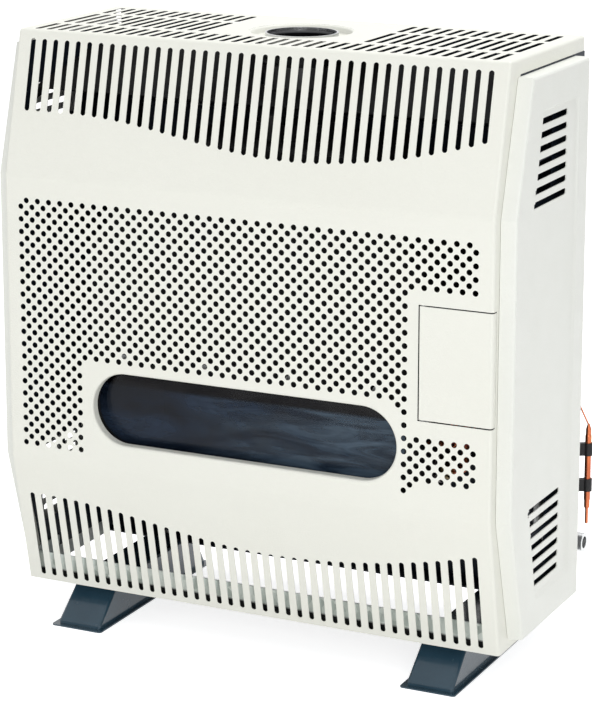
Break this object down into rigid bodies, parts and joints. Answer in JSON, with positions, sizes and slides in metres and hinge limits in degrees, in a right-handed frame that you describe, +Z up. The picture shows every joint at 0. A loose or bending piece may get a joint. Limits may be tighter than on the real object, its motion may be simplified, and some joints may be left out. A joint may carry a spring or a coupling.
{
  "type": "flued gas heater",
  "caption": "Flued gas room heater: pressed ivory steel casing with punched front, wave-shaped slots, oblong flame window, control door, top flue collar and sled feet.",
  "frame": {"origin": "middle of the footprint, on the floor", "axes": "+X to the right of someone facing the heater, +Y to the back, +Z up"},
  "size_m": [0.606, 0.288, 0.67],
  "materials": {
    "casing_ivory": "fine textured powder coat, warm ivory",
    "side_ivory": "fine textured powder coat, warm ivory",
    "chassis_dark": "dark blue paint",
    "galvanised": "galvanised",
    "foot_blue_grey": "glossy blue-grey enamel",
    "zinc_fixings": "zinc plated",
    "stove_black": "heat-proof black paint",
    "bright_steel": "bare bright steel",
    "burner_steel": "heat-tinted stainless steel",
    "window_glass": "heat-proof glass, dark",
    "gasket": "woven ceramic tape",
    "brass": "turned",
    "copper": "drawn copper",
    "ceramic": null,
    "lead_red": "silicone sleeve",
    "valve_alloy": "die-cast, satin",
    "plate_dark": "dark grey paint",
    "black_plastic": "fine grain",
    "button_red": "smooth",
    "catch_white": "smooth"
  },
  "bodies": {
    "casing": {"front_casing": "casing_ivory", "casing_hood": "casing_ivory", "casing_apron": "casing_ivory", "casing_top": "casing_ivory", "left_casing_side": "casing_ivory", "right_casing_side": "casing_ivory", "window_rim": "casing_ivory", "left_side_panel": "side_ivory", "right_side_panel": "side_ivory", "left_side_frame": "chassis_dark", "right_side_frame": "chassis_dark", "rear_frame": "chassis_dark", "base_rail_front": "galvanised", "base_rail_rear": "chassis_dark", "left_foot": "foot_blue_grey", "right_foot": "foot_blue_grey", "foot_bolts": "zinc_fixings", "combustion_chamber": "stove_black", "chamber_standoffs": "zinc_fixings", "heat_shield": "chassis_dark", "air_deflector": "stove_black", "draught_diverter": "galvanised", "flue_collar": "bright_steel", "window_retainer": "stove_black", "window_glass": "window_glass", "window_gasket": "gasket", "window_screws": "zinc_fixings", "burner_tube": "burner_steel", "burner_bracket": "burner_steel", "injector": "brass", "manifold_pipe": "copper", "pilot_burner": "burner_steel", "pilot_pipe": "copper", "spark_electrode": "ceramic", "ignition_lead": "lead_red", "thermocouple": "copper", "gas_valve": "valve_alloy", "valve_bracket": "galvanised", "control_plate": "plate_dark", "igniter_body": "black_plastic", "gas_pipe": "zinc_fixings", "inlet_nipple": "zinc_fixings", "sensing_bulb": "copper", "capillary": "copper", "bulb_clips": "black_plastic", "door_hinge": "zinc_fixings", "door_catch": "catch_white", "casing_screws": "zinc_fixings", "panel_screws": "zinc_fixings"},
    "door": {"control_door": "casing_ivory"},
    "knob_slide": {"valve_plunger": "zinc_fixings"},
    "knob": {"knob_spindle": "zinc_fixings", "control_knob": "black_plastic"},
    "igniter": {"igniter_button": "button_red"}
  },
  "joints": [
    {"name": "door_swing", "type": "hinge", "parent": "casing", "child": "door", "pos_m": [0.2083, -0.141, 0.36], "axis": [0, 0, -1], "range_deg": [0, 95]},
    {"name": "knob_push", "type": "slide", "parent": "casing", "child": "knob_slide", "axis": [0, 1, 0], "range_m": [0, 0.004], "stiffness_N_per_m": 1200, "springref_m": -0.003},
    {"name": "knob_turn", "type": "hinge", "parent": "knob_slide", "child": "knob", "pos_m": [0.244, -0.124, 0.376], "axis": [0, -1, 0], "range_deg": [0, 270]},
    {"name": "igniter_push", "type": "slide", "parent": "casing", "child": "igniter", "axis": [0, 1, 0], "range_m": [0, 0.005], "stiffness_N_per_m": 1500, "springref_m": -0.003}
  ]
}
